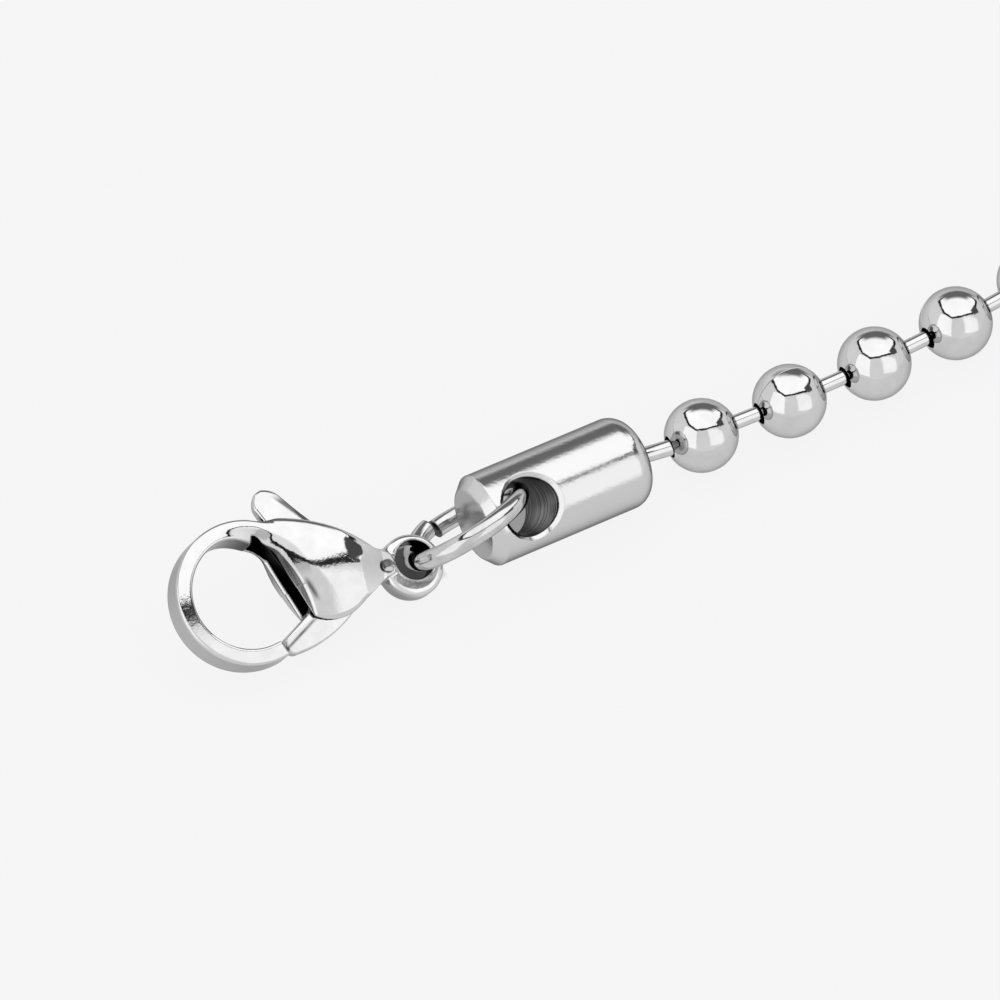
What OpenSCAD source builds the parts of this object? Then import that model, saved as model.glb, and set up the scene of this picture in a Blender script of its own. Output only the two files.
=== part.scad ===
// Ball chain necklace, unclasped and lying as an open loop on a flat surface.
// Millimetres, +Z up, the origin under the middle of the loop on the surface.
// The clasp end is at the front (-Y); the chain leaves it towards +X and runs round anticlockwise.

/* [Ball chain] */
// Diameter of one hollow ball
ball_d = 3; // [2.8:0.05:3.2]
// Wall of a ball
ball_wall = 0.3; // [0.25:0.05:0.35]
// Distance between the centres of neighbouring balls
ball_pitch = 4; // [3.9:0.05:4.3]
// Number of balls
ball_count = 116; // [100:1:118]
// Diameter of the two holes in a ball
ball_hole_d = 0.88; // [0.86:0.01:0.92]
// Diameter of the rod that links two balls
rod_d = 0.54; // [0.48:0.01:0.56]
// Diameter of the knob on each end of a rod
knob_d = 1; // [0.96:0.01:1.04]
// Distance from a ball's centre to the middle of the knobs inside it
knob_seat = 0.7; // [0.66:0.01:0.7]

/* [End caps] */
// Diameter of an end cap
cap_d = 3.8; // [3.7:0.05:4]
// Length of an end cap
cap_len = 7.5; // [7:0.1:9]
// Chamfer at the ring end of a cap
cap_chamfer = 0.45; // [0.35:0.05:0.5]
// Radius of the rounded chain end of a cap
cap_round = 1; // [0.6:0.1:1.2]
// Diameter of the cross hole for the jump ring
cross_hole_d = 2.3; // [2.3:0.05:2.4]
// Distance of the cross hole's axis from the cap's ring end
cross_hole_at = 1.88; // [1.85:0.01:1.9]
// Width of the countersink round the cross hole's mouths
cross_hole_sink = 0.3; // [0.25:0.05:0.35]
// Thickness of the cap's wall round the last rod
cap_end_wall = 0.4; // [0.3:0.05:0.5]
// Diameter of the chamber that holds the last knob
chamber_d = 1.8; // [1.5:0.1:2]
// Length of that chamber
chamber_len = 1.4; // [1.3:0.1:2]
// Gap between an end cap and the ball beside it
cap_gap = 1.5; // [1.3:0.05:1.7]

/* [Jump rings] */
// Outer diameter of a jump ring
ring_d = 5.73; // [5.7:0.01:5.8]
// Diameter of a jump ring's wire
ring_wire_d = 0.78; // [0.7:0.01:0.8]
// Width of the split in a jump ring
ring_split = 0.12; // [0.05:0.01:0.2]

/* [Clasp body] */
// Outer diameter of the eye
eye_d = 2.54; // [2.5:0.01:2.6]
// Diameter of the hole in the eye
eye_hole_d = 1.6; // [1.58:0.01:1.66]
// Thickness of the eye
eye_thick = 1.1; // [1:0.05:1.15]
// Distance from the eye's centre to the centre of the hook's curve
hook_reach = 7.05; // [7:0.05:7.4]
// Outer diameter of the hook's curve
hook_d = 5.8; // [5.6:0.05:5.9]
// Width of the hook's band, seen from the front
hook_band = 0.65; // [0.55:0.05:0.7]
// Thickness of the hook
hook_thick = 1.65; // [1.5:0.05:1.7]
// Thickness of the domed body at its middle
body_thick = 2.7; // [2.5:0.05:2.9]
// Thickness of the neck between the body and the eye
neck_thick = 1.24; // [1.1:0.02:1.3]
// Radius of the hook's rounded edges
hook_round = 0.2; // [0.1:0.02:0.26]
// Radius of the eye's rounded edges
eye_round = 0.2; // [0.1:0.02:0.22]
// Diameter of the dimple in front of the neck
dimple_d = 0.46; // [0.4:0.02:0.5]

/* [Clasp lever] */
// Thickness of the lever's gate and arm
lever_thick = 1; // [0.9:0.02:1.1]
// Thickness of the thumb tab
tab_thick = 0.7; // [0.6:0.02:0.8]
// Gap between the lever and each cheek
lever_side_gap = 0.07; // [0.05:0.01:0.1]
// Radius of the lever's hub
hub_r = 0.62; // [0.58:0.01:0.64]
// Diameter of the pivot pin
pin_d = 0.7; // [0.6:0.02:0.72]
// Radial gap between the pin and the lever's hub
pin_run_gap = 0.04; // [0.02:0.01:0.06]
// Radial gap between the pin and the body that holds it
pin_hold_gap = 0.01; // [0.01:0.01:0.02]
// Metal left over the pin at the body's front
pin_cover = 0.5; // [0.5:0.02:0.6]
// Gap between the gate's tip and the hook's tip
gate_gap = 0.1; // [0.08:0.01:0.12]

/* [Lay] */
// Gap between the clasp and the far jump ring, along the loop
loop_gap = 10; // [6:1:40]
// Angle by which the ring end of a cap is lifted off the surface
cap_lift = 2.23; // [2.1:0.01:2.4]
// Angle between a cap and the chain, seen from above
cap_turn = 3.44; // [3:0.01:3.8]
// Angle of the cross hole's axis from the vertical
cross_turn = 43.8; // [43:0.1:44.5]

/* [Hidden] */
$fn = 64;
// Share of overlap that a cutting solid has past what it cuts
past = 1;

// Chain
ball_r = ball_d / 2;
cap_r = cap_d / 2;
ring_r = (ring_d - ring_wire_d) / 2;
hook_r = hook_d / 2;
hook_mid_r = hook_r - hook_band / 2;
// Depth of the last knob behind the cap's chain end, and its rise over the cap's axis
last_knob_depth = cap_end_wall + knob_d / 2 + 0.1;
last_knob_rise = 0.07;
// Drop of the first knob under the ball's centre, so that the sloping rod clears both holes
first_knob_drop = 0.04;
// The cap's chain end lies this far to the outside of the first ball's line
cap_aside = 0.072;

// Loop: its round length is the chain, both ends and the gap between them
ring_slack = 0.315;
eye_slack = 0.06;
cap_run = ball_r + cap_gap + cap_len;
ring_run = ring_r - ring_slack - cross_hole_at;
clasp_run = cap_run + ring_run + ring_r + hook_reach + hook_r;
far_run = cap_run + ring_run + ring_d / 2;
loop_len = (ball_count - 1) * ball_pitch + clasp_run + far_run + loop_gap;
loop_r = loop_len / (2 * PI);
step_angle = 360 * ball_pitch / loop_len;
first_angle = -90 + 360 * (loop_gap / 2 + clasp_run) / loop_len;
last_angle = first_angle + (ball_count - 1) * step_angle;
chord = 2 * loop_r * sin(step_angle / 2);
// The clasp lies this far outside the round line of the balls, so the loop moves back by half
clasp_outset = 3.64;
loop_shift = clasp_outset / 2;

// Attitudes of the clasp's ring and of the clasp, as turns about X, Y and Z
ring_turns = [-43.1, -20.8, -1.8];
clasp_turns = [-29.9, -6.6, 173.2];
// Ring centre beside and over the cap's axis, and eye centre off the ring's widest point
ring_side = 0.04;
ring_rise = 0.012;
eye_rise = -0.223;
// Direction of the ring's split from the ring's centre
split_angle = 120;

// Clasp, in its own frame: the eye's centre at the origin, the hook towards +X,
// the gate on the +Y side, the thumb tab on the -Y side and the front face towards +Z
pivot = [0.390 * hook_reach, 0.293 * hook_r];
gate_reach = 0.514 * hook_reach;
slot_w = lever_thick + 2 * lever_side_gap;
slot_start = pivot[0] - hub_r - 0.12;
dome_centre = [0.52 * hook_reach, -0.17 * hook_r];
dome_span = 0.9 * hook_r;
dome_edge = 1.6;
dome_drop = (body_thick - dome_edge) / 2;
dome_r = (pow(dome_span, 2) + pow(dome_drop, 2)) / (2 * dome_drop);
dimple_at = [0.173 * hook_reach, 0.045 * hook_r];
dimple_depth = 0.12;
// The hook's curve ends inside the body at its root, and past the gate's tip before it is cut
hook_root = -126;
hook_end = 125;
facet_start = 0.345 * hook_reach;
facet_end = 0.211 * hook_reach;
tab_from = -0.75 * hook_r;

// Outlines: columns are along (share of hook_reach), across (share of hook_r) and the bow of the
// arc to the next row (share of hook_r, positive to the right of the way)
BODY_EDGE = [
    [0.8723, -0.9379, 0],
    [0.7887, -0.9586, -0.097],
    [0.2298, -0.2621, 0.01],
    [0.1348, -0.2138, 0],
    [0.1348, 0.2138, 0],
    [0.2298, 0.1828, -0.317],
    [0.7021, 0.3897, -0.01],
    [0.8270, -0.4828, 0.034],
    [0.9106, -0.7241, 0]
];
LEVER_EDGE = [
    [0.3688, 0.3966, -0.114],
    [0.7872, 0.9172, -0.017],
    [0.8411, 0.8690, 0],
    [0.8482, 0.7586, -0.01],
    [0.8312, 0.6724, 0],
    [0.6894, 0.4379, 0],
    [0.6170, 0.1724, 0],
    [0.7518, -0.5517, 0],
    [0.7915, -0.8793, 0],
    [0.8284, -1.1034, -0.014],
    [0.8142, -1.2724, -0.014],
    [0.7801, -1.3517, -0.01],
    [0.7404, -1.3655, -0.028],
    [0.6553, -1.2172, 0.01],
    [0.5106, -0.7931, 0],
    [0.3121, 0.2069, 0]
];
// The side of the lever's slot away from the eye: columns as above, without the bow
SLOT_FAR_SIDE = [[0.81, -1.8], [0.89, -0.62], [0.8, 0.2], [0.8, 1.3]];

// Points on the arc from p to q that bows by sag to the right of the way, q left out
function bow(p, q, sag, n = 14) =
    abs(sag) < 0.001 ? [p] :
    let (
        d = norm(q - p),
        u = (q - p) / d,
        v = [u[1], -u[0]] * sign(sag),
        s = abs(sag),
        r = (d * d / 4 + s * s) / (2 * s),
        half = asin(min(1, d / 2 / r))
    )
    [for (i = [0 : n - 1]) let (a = (2 * i / n - 1) * half)
        p + u * (d / 2 + r * sin(a)) + v * (r * cos(a) - r + s)];

// Closed outline from a table of rows
function plan_point(row) = [row[0] * hook_reach, row[1] * hook_r];
function outline(rows) =
    [for (i = [0 : len(rows) - 1])
        each bow(plan_point(rows[i]), plan_point(rows[(i + 1) % len(rows)]), rows[i][2] * hook_r)];

// Section of a band with rounded edges, from radius a to radius b
module band_section(a, b, thick, round, n = 6) {
    corners = [[b - round, thick / 2 - round], [a + round, thick / 2 - round],
               [a + round, round - thick / 2], [b - round, round - thick / 2]];
    polygon([for (i = [0 : 3]) for (k = [0 : n])
        corners[i] + round * [cos(90 * (i + k / n)), sin(90 * (i + k / n))]]);
}

// Places: at the first ball with +X along the chain, and at the last with +X back along it
module at_first_ball() {
    translate([0, loop_shift, 0])
    rotate(first_angle)
    translate([loop_r, 0, 0])
    rotate(90 + step_angle / 2)
    children();
}

module at_last_ball() {
    translate([0, loop_shift, 0])
    rotate(last_angle)
    translate([loop_r, 0, 0])
    rotate(-90 - step_angle / 2)
    mirror([0, 1, 0])
    children();
}

// The cap's own frame: its ring end at the origin, the chain end towards +X
module at_cap() {
    translate([-ball_r - cap_gap, -cap_aside, cap_r])
    rotate([0, cap_lift, cap_turn])
    translate([-cap_len, 0, 0])
    children();
}

// The ring's own frame: its centre at the origin, the cap towards +X
function turned(v, a) =
    let (
        x1 = v[0], y1 = v[1] * cos(a[0]) - v[2] * sin(a[0]), z1 = v[1] * sin(a[0]) + v[2] * cos(a[0]),
        x2 = x1 * cos(a[1]) + z1 * sin(a[1]), y2 = y1, z2 = -x1 * sin(a[1]) + z1 * cos(a[1])
    )
    [x2 * cos(a[2]) - y2 * sin(a[2]), x2 * sin(a[2]) + y2 * cos(a[2]), z2];

cap_origin = [-ball_r - cap_gap, -cap_aside, cap_r] + turned([-cap_len, 0, 0], [0, cap_lift, cap_turn]);
ring_centre = cap_origin
    + turned([cross_hole_at - ring_r + ring_slack, ring_side, ring_rise], [0, cap_lift, cap_turn]);
eye_centre = ring_centre + turned([-ring_r - eye_slack, eye_rise, 0], ring_turns);

module at_ring() {
    translate(ring_centre)
    rotate(ring_turns)
    children();
}

module at_clasp() {
    translate(eye_centre)
    rotate(clasp_turns)
    children();
}

// Chain: a hollow ball with a hole at each end along X
module ball() {
    rotate([0, 90, 0])
    rotate_extrude()
    difference() {
        intersection() {
            circle(r = ball_r);
            translate([ball_hole_d / 2, -ball_r])
            square([ball_r, ball_d]);
        }
        circle(r = ball_r - ball_wall);
    }
}

// A rod with a knob on each end, from point a to point b
module link(a, b) {
    way = b - a;
    length = norm(way);
    translate(a)
    rotate([0, 90 - asin(way[2] / length), atan2(way[1], way[0])])
    rotate_extrude($fn = 32)
    union() {
        half_disc(knob_d);
        square([rod_d / 2, length]);
        translate([0, length])
        half_disc(knob_d);
    }
}

module half_disc(d) {
    intersection() {
        circle(d = d, $fn = 32);
        translate([0, -d])
        square([d, 2 * d]);
    }
}

module end_link() {
    cap_knob = cap_origin
        + turned([cap_len - last_knob_depth, 0, last_knob_rise], [0, cap_lift, cap_turn]);
    link(cap_knob, [-knob_seat, 0, ball_r - first_knob_drop]);
}

module chain_balls() {
    color("gainsboro")
    translate([0, loop_shift, ball_r])
    for (i = [0 : ball_count - 1])
        rotate(first_angle + i * step_angle)
        translate([loop_r, 0, 0])
        rotate(90)
        ball();
}

module chain_links() {
    color("silver") {
        translate([0, loop_shift, ball_r])
        for (i = [0 : ball_count - 2])
            rotate(first_angle + i * step_angle)
            translate([loop_r, 0, 0])
            rotate(90 + step_angle / 2)
            link([knob_seat, 0, 0], [chord - knob_seat, 0, 0]);
        at_first_ball()
        end_link();
        at_last_ball()
        end_link();
    }
}

// End caps: a turned barrel, chamfered at the ring end and rounded at the chain end
module cap_section() {
    polygon([
        [0, 0], [cap_r - cap_chamfer, 0], [cap_r, cap_chamfer], [cap_r, cap_len - cap_round],
        [cap_r - cap_round, cap_len - cap_round], [cap_r - cap_round, cap_len], [0, cap_len]
    ]);
    intersection() {
        translate([cap_r - cap_round, cap_len - cap_round])
        circle(r = cap_round);
        square([cap_r, cap_len]);
    }
}

module end_cap() {
    sink_from = cap_r - cross_hole_sink;
    difference() {
        rotate([0, 90, 0])
        rotate_extrude()
        cap_section();
        translate([cross_hole_at, 0, 0])
        rotate([cross_turn, 0, 0]) {
            cylinder(d = cross_hole_d, h = cap_d + past, center = true);
            for (side = [0, 180])
                rotate([side, 0, 0])
                translate([0, 0, sink_from])
                cylinder(d1 = cross_hole_d, d2 = cross_hole_d + 4 * cross_hole_sink,
                         h = 2 * cross_hole_sink);
        }
        translate([cap_len - cap_end_wall - chamber_len, 0, 0])
        rotate([0, 90, 0])
        cylinder(d = chamber_d, h = chamber_len);
        translate([cap_len - cap_end_wall - chamber_len / 2, 0, 0])
        rotate([0, 90, 0])
        cylinder(d = ball_hole_d, h = cap_end_wall + chamber_len / 2 + past);
    }
}

module clasp_end_cap() {
    color("darkgray")
    at_first_ball()
    at_cap()
    end_cap();
}

module far_end_cap() {
    color("darkgray")
    at_last_ball()
    at_cap()
    end_cap();
}

// Jump rings: round wire with a narrow split
module jump_ring() {
    split = ring_split / ring_r * 180 / PI;
    rotate(split_angle + split / 2)
    rotate_extrude(angle = 360 - split)
    translate([ring_r, 0])
    circle(d = ring_wire_d, $fn = 32);
}

module clasp_ring() {
    color("lightgray")
    at_first_ball()
    at_ring()
    jump_ring();
}

module far_ring() {
    color("lightgray")
    at_last_ball()
    at_ring()
    jump_ring();
}

// Clasp body: a hook, two domed cheeks with the lever's slot between them, a neck and an eye
module hook() {
    difference() {
        translate([hook_reach, 0, 0])
        rotate(hook_root)
        rotate_extrude(angle = hook_end - hook_root)
        band_section(hook_r - hook_band, hook_r, hook_thick, hook_round);
        translate([pivot[0], pivot[1], -body_thick / 2])
        intersection() {
            cylinder(r = gate_reach + gate_gap, h = body_thick, $fn = 96);
            cube([hook_reach, hook_r + past, body_thick]);
        }
    }
}

module cheeks() {
    difference() {
        intersection() {
            linear_extrude(body_thick, center = true)
            polygon(outline(BODY_EDGE));
            dome_ball(1);
            dome_ball(-1);
        }
        for (side = [0, 1])
            mirror([0, 0, side])
            neck_facet();
    }
}

// The ball whose surface is the front (1) or back (-1) dome
module dome_ball(side) {
    translate([dome_centre[0], dome_centre[1], side * (body_thick / 2 - dome_r)])
    rotate([90, 0, 0])
    sphere(r = dome_r, $fn = 96);
}

module lever_slot() {
    linear_extrude(slot_w, center = true)
    polygon(concat(
        [[slot_start, 1.3 * hook_r], [slot_start, -1.8 * hook_r]],
        [for (row = SLOT_FAR_SIDE) plan_point(row)]
    ));
}

// What is cut away in front of the neck: it slopes from the dome down to the neck's thickness
module neck_facet() {
    rise = body_thick / 2 + past;
    rotate([90, 0, 0])
    linear_extrude(4 * hook_r, center = true)
    polygon([
        [facet_start, dome_edge / 2 + dome_drop * 0.75], [facet_end, neck_thick / 2],
        [-eye_d, neck_thick / 2], [-eye_d, rise], [facet_start, rise]
    ]);
}

module eye() {
    rotate_extrude()
    band_section(eye_hole_d / 2, eye_d / 2, eye_thick, eye_round);
}

module clasp_body() {
    color("silver")
    at_first_ball()
    at_clasp()
    difference() {
        union() {
            hook();
            cheeks();
            eye();
        }
        lever_slot();
        translate([pivot[0], pivot[1], -body_thick])
        cylinder(d = pin_d + 2 * pin_hold_gap, h = 1.5 * body_thick - pin_cover);
        translate([dimple_at[0], dimple_at[1], neck_thick / 2 + dimple_d / 2 - dimple_depth])
        sphere(d = dimple_d, $fn = 32);
    }
}

// Lever: a hub on the pin, the gate that closes the hook and the thumb tab
module clasp_lever() {
    color("whitesmoke")
    at_first_ball()
    at_clasp()
    difference() {
        union() {
            linear_extrude(lever_thick, center = true)
            polygon(outline(LEVER_EDGE));
            translate([pivot[0], pivot[1], 0])
            cylinder(r = hub_r, h = lever_thick, center = true);
        }
        translate([pivot[0], pivot[1], 0])
        cylinder(d = pin_d + 2 * pin_run_gap, h = lever_thick + past, center = true);
        for (side = [0, 1])
            mirror([0, 0, side])
            translate([0, tab_from - 2 * hook_r, tab_thick / 2])
            cube([hook_reach, 2 * hook_r, lever_thick]);
    }
}

// The pin goes in from the back and ends under the front face
module lever_pin() {
    back_recess = 0.45;
    end_gap = 0.02;
    color("dimgray")
    at_first_ball()
    at_clasp()
    translate([pivot[0], pivot[1], back_recess - body_thick / 2])
    cylinder(d = pin_d, h = body_thick - pin_cover - back_recess - end_gap);
}

clasp_body();
clasp_lever();
lever_pin();
clasp_ring();
clasp_end_cap();
chain_balls();
chain_links();
far_end_cap();
far_ring();
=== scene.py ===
"""Ball chain necklace with a lever clasp, lying as an open loop on a pale floor.

Laid out as a Blender add-on and run as a script. Sizes in the helpers are millimetres in a
piece's own frame; a piece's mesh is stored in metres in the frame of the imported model.
"""
import math

import bmesh
import bpy
import numpy as np
from bpy.props import FloatProperty, FloatVectorProperty, IntProperty, PointerProperty
from mathutils import Euler, Matrix, Vector


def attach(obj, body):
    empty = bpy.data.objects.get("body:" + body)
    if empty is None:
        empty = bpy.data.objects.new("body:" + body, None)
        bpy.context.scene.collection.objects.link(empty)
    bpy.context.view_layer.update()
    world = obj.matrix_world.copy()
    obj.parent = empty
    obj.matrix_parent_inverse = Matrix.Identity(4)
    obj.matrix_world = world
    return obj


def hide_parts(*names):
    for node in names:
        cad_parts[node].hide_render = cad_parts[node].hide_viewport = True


bl_info = {
    "name": "Ball chain necklace",
    "version": (1, 0, 0),
    "blender": (4, 5, 0),
    "location": "View3D > Sidebar > Necklace",
    "description": "Builds a ball chain necklace with its clasp, caps and rings",
    "category": "Add Mesh",
}

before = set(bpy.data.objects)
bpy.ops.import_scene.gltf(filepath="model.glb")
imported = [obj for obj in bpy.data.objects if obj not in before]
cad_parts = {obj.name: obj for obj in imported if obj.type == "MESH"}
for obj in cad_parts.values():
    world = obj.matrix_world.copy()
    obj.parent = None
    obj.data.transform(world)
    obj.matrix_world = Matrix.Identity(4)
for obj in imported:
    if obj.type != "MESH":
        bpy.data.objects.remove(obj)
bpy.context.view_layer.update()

MM = 0.001
# Points closer than this are one, m
WELD = 1e-7
ROOT_BODY = "necklace"
LEVER_BODY = "lever"


# Settings

def length(name, description, default):
    """A size in millimetres."""
    return FloatProperty(name=name, description=description + ", mm", default=default, min=0.0)


class ChainSettings(bpy.types.PropertyGroup):
    ball_d: length("Ball", "Diameter of a ball", 3.0)
    wall: length("Wall", "Wall of a ball", 0.3)
    hole_d: length("Hole", "Diameter of a ball's holes", 0.88)
    rod_d: length("Rod", "Diameter of the rods between balls", 0.6)
    end_rod_d: length("End rod", "Diameter of the rod at each end of the chain", 0.66)
    knob_d: length("Knob", "Diameter of a rod's end knobs", 1.0)
    knob_seat: length("Knob seat", "From a ball's centre to a knob's", 0.7)
    pitch: length("Pitch", "Between the centres of neighbouring balls", 4.0)
    loop_gap: length("Gap", "Gap between the clasp and the far ring", 10.0)
    clasp_outset: length("Outset", "How far the clasp lies outside the balls' line", 3.64)
    count: IntProperty(name="Balls", description="Number of balls", default=116, min=2)
    sides: IntProperty(name="Sides", description="Sides of a ball", default=32, min=8)


class CapSettings(bpy.types.PropertyGroup):
    cap_d: length("Diameter", "Diameter of an end cap", 3.8)
    cap_len: length("Length", "Length of an end cap", 7.5)
    chamfer: length("Chamfer", "Chamfer at the ring end", 0.42)
    rounding: length("Rounding", "Radius of the chain end's edge", 0.9)
    cross_hole_d: length("Cross hole", "Diameter of the cross hole", 2.3)
    cross_hole_at: length("Hole from end", "Cross hole's axis from the ring end", 1.88)
    countersink: length("Countersink", "Width of the cross hole's countersink", 0.2)
    cap_gap: length("Gap", "Between a cap and the ball beside it", 1.5)
    end_wall: length("End wall", "Thickness of the wall round the last rod", 0.4)
    cell: length("Mesh cell", "Size of a mesh cell", 0.045)


class RingSettings(bpy.types.PropertyGroup):
    ring_d: length("Diameter", "Outer diameter of a jump ring", 5.73)
    wire_d: length("Wire", "Diameter of the ring's wire", 0.78)
    split: length("Split", "Width of the split", 0.18)
    spring: length("Spring", "How far one cut end stands out of the ring's plane", 0.34)
    set_back: length("Set back", "How far the other cut end stands out", 0.14)


class ClaspSettings(bpy.types.PropertyGroup):
    hook_reach: length("Reach", "From the eye's centre to the hook curve's centre", 7.05)
    hook_d: length("Hook", "Outer diameter of the hook's curve", 5.8)
    hook_band: length("Band", "Width of the hook's band", 0.65)
    hook_thick: length("Hook thickness", "Thickness of the hook", 1.65)
    body_thick: length("Body thickness", "Thickness of the domed body", 2.7)
    neck_thick: length("Neck thickness", "Thickness of the neck", 1.24)
    eye_d: length("Eye", "Outer diameter of the eye", 2.54)
    eye_hole_d: length("Eye hole", "Diameter of the eye's hole", 1.54)
    eye_thick: length("Eye thickness", "Thickness of the eye", 1.1)
    lever_thick: length("Lever thickness", "Thickness of the lever", 1.0)
    tab_thick: length("Tab thickness", "Thickness of the thumb tab", 0.7)
    side_gap: length("Lever gap", "Gap on each side of the lever", 0.12)
    cell: length("Mesh cell", "Size of a mesh cell", 0.042)


class StageSettings(bpy.types.PropertyGroup):
    floor_shade: FloatProperty(
        name="Floor shade", description="How much of the studio light the floor sends back",
        default=0.04, min=0.0, max=1.0, subtype="FACTOR")
    floor_glow: FloatProperty(
        name="Floor glow", description="Light that the floor gives as a light table",
        default=0.87, min=0.0)
    room: FloatProperty(
        name="Room", description="Brightness of the studio between its panels", default=1.0, min=0.0)
    steel_colour: FloatVectorProperty(
        name="Steel", description="Colour of the steel", subtype="COLOR",
        size=3, default=(0.63, 0.63, 0.63), min=0.0, max=1.0)


def settings(name):
    return getattr(bpy.context.scene, "necklace_" + name)


# Places

def turned(degrees, place=(0.0, 0.0, 0.0)):
    """A 4x4 matrix: turns about X, Y and Z in degrees, then a move."""
    turn = Euler([math.radians(a) for a in degrees]).to_matrix().to_4x4()
    return Matrix.Translation(place) @ turn


# The cap lies in the frame of the ball beside it, the ring in the cap's and the clasp in the ring's.
# Turns are degrees about X, Y and Z, places are mm.
CAP_TURNS = (0.0, 2.23, 3.44)
CAP_ASIDE = 0.072
RING_TURNS = (-43.1, -20.8, -1.8)
RING_AT = (-0.28, 0.04, 0.012)
RING_PAST_HOLE = 0.315
CLASP_TURNS = (-29.9, -6.6, 173.2)
EYE_ON_RING = (-2.535, -0.223, 0.0)


def loop_places():
    """The loop's radius, its centre's shift, the step and the first and last ball's angles."""
    chain, cap, ring, clasp = (settings(n) for n in ("chain", "cap", "ring", "clasp"))
    ring_r = (ring.ring_d - ring.wire_d) / 2
    cap_run = chain.ball_d / 2 + cap.cap_gap + cap.cap_len
    ring_run = ring_r - RING_PAST_HOLE - cap.cross_hole_at
    clasp_run = cap_run + ring_run + ring_r + clasp.hook_reach + clasp.hook_d / 2
    far_run = cap_run + ring_run + ring.ring_d / 2
    spans = (chain.count - 1) * chain.pitch
    around = spans + clasp_run + far_run + chain.loop_gap
    step = 2 * math.pi * chain.pitch / around
    first = -math.pi / 2 + 2 * math.pi * (chain.loop_gap / 2 + clasp_run) / around
    last = first + (chain.count - 1) * step
    return around / (2 * math.pi), chain.clasp_outset / 2, step, first, last


def first_ball_place():
    """The first ball's frame on the floor: +X along the chain, away from the cap beside it."""
    radius, shift, step, first, _ = loop_places()
    at = (radius * math.cos(first), shift + radius * math.sin(first), 0.0)
    return turned((0, 0, math.degrees(first + step / 2) + 90), at)


def last_ball_place():
    """The last ball's frame, mirrored, so that a cap and ring lie in it as in the first ball's."""
    radius, shift, step, _, last = loop_places()
    at = (radius * math.cos(last), shift + radius * math.sin(last), 0.0)
    return turned((0, 0, math.degrees(last - step / 2) - 90), at) @ Matrix.Diagonal((1, -1, 1, 1))


def cap_place():
    chain, cap = settings("chain"), settings("cap")
    end = turned(CAP_TURNS, (-chain.ball_d / 2 - cap.cap_gap, -CAP_ASIDE, cap.cap_d / 2))
    return end @ Matrix.Translation((-cap.cap_len, 0, 0))


def ring_place():
    centre = cap_place() @ Vector(RING_AT)
    return turned(RING_TURNS, centre)


def clasp_place():
    return turned(CLASP_TURNS, ring_place() @ Vector(EYE_ON_RING))


# Shapes from distance fields

def arc(p, q, sag, n=12):
    """Points from p to q on an arc that bows by sag to the right of the way, q left out."""
    p, q = np.array(p, float), np.array(q, float)
    if abs(sag) < 1e-3:
        return [p]
    span = np.linalg.norm(q - p)
    along = (q - p) / span
    side = np.array([along[1], -along[0]]) * np.sign(sag)
    sag = abs(sag)
    radius = (span * span / 4 + sag * sag) / (2 * sag)
    half = math.asin(min(1.0, span / 2 / radius))
    angles = np.linspace(-half, half, n, endpoint=False)
    return [p + along * (span / 2 + radius * math.sin(a)) + side * (radius * math.cos(a) - radius + sag)
            for a in angles]


def outline(rows):
    """Points of a closed outline from rows of along, across and the bow of the next side."""
    loop = []
    for (x, y, bow), (x2, y2, _) in zip(rows, rows[1:] + rows[:1]):
        loop += arc((x, y), (x2, y2), bow)
    return np.array(loop)


def plan_distance(x, y, rows):
    """Signed distance to the closed outline that the rows give, negative inside."""
    loop = outline(rows)
    x, y = np.broadcast_arrays(x, y)
    best = np.full(x.shape, 1e9)
    inside = np.zeros(x.shape, bool)
    for (ax, ay), (bx, by) in zip(loop, np.roll(loop, -1, axis=0)):
        ex, ey, wx, wy = bx - ax, by - ay, x - ax, y - ay
        t = np.clip((wx * ex + wy * ey) / (ex * ex + ey * ey), 0, 1)
        best = np.minimum(best, (wx - ex * t) ** 2 + (wy - ey * t) ** 2)
        if ey:
            inside ^= ((ay > y) != (by > y)) & (wx < (y - ay) * ex / ey)
    return np.where(inside, -1, 1) * np.sqrt(best)


def meet(a, b, r):
    """Common part of two fields, with its edge rounded to radius r."""
    round_off = np.hypot(np.maximum(a + r, 0), np.maximum(b + r, 0))
    return np.minimum(np.maximum(a, b), -r) + round_off


def join(a, b, r):
    """Union of two fields, with a fillet of radius r."""
    return np.maximum(np.minimum(a, b), r) - np.hypot(np.maximum(r - a, 0), np.maximum(r - b, 0))


def apart(x, y, spot):
    """Distance from a spot, seen from the front."""
    return np.hypot(x - spot[0], y - spot[1])


def past(x, y, line):
    """How far beyond a line seen from the front, given by a spot on it and the way across it."""
    (line_x, line_y), (way_x, way_y) = line
    return (x - line_x) * way_x + (y - line_y) * way_y


def ramp(a, b, value):
    """Grows smoothly from 0 at a to 1 at b, and a may be the larger."""
    t = np.clip((value - a) / (b - a), 0, 1)
    return t * t * (3 - 2 * t)


def gradient(field, points, step=0.004):
    """Gradient of a field at points, by central differences."""
    out = np.empty_like(points)
    for k in range(3):
        hi, lo = points.copy(), points.copy()
        hi[:, k] += step
        lo[:, k] -= step
        out[:, k] = (field(*hi.T) - field(*lo.T)) / (2 * step)
    return out


# How often a skin's points are moved towards the surface, and the least squared slope for a move
SKIN_STEPS = 4
LEAST_SLOPE = 0.2


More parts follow.
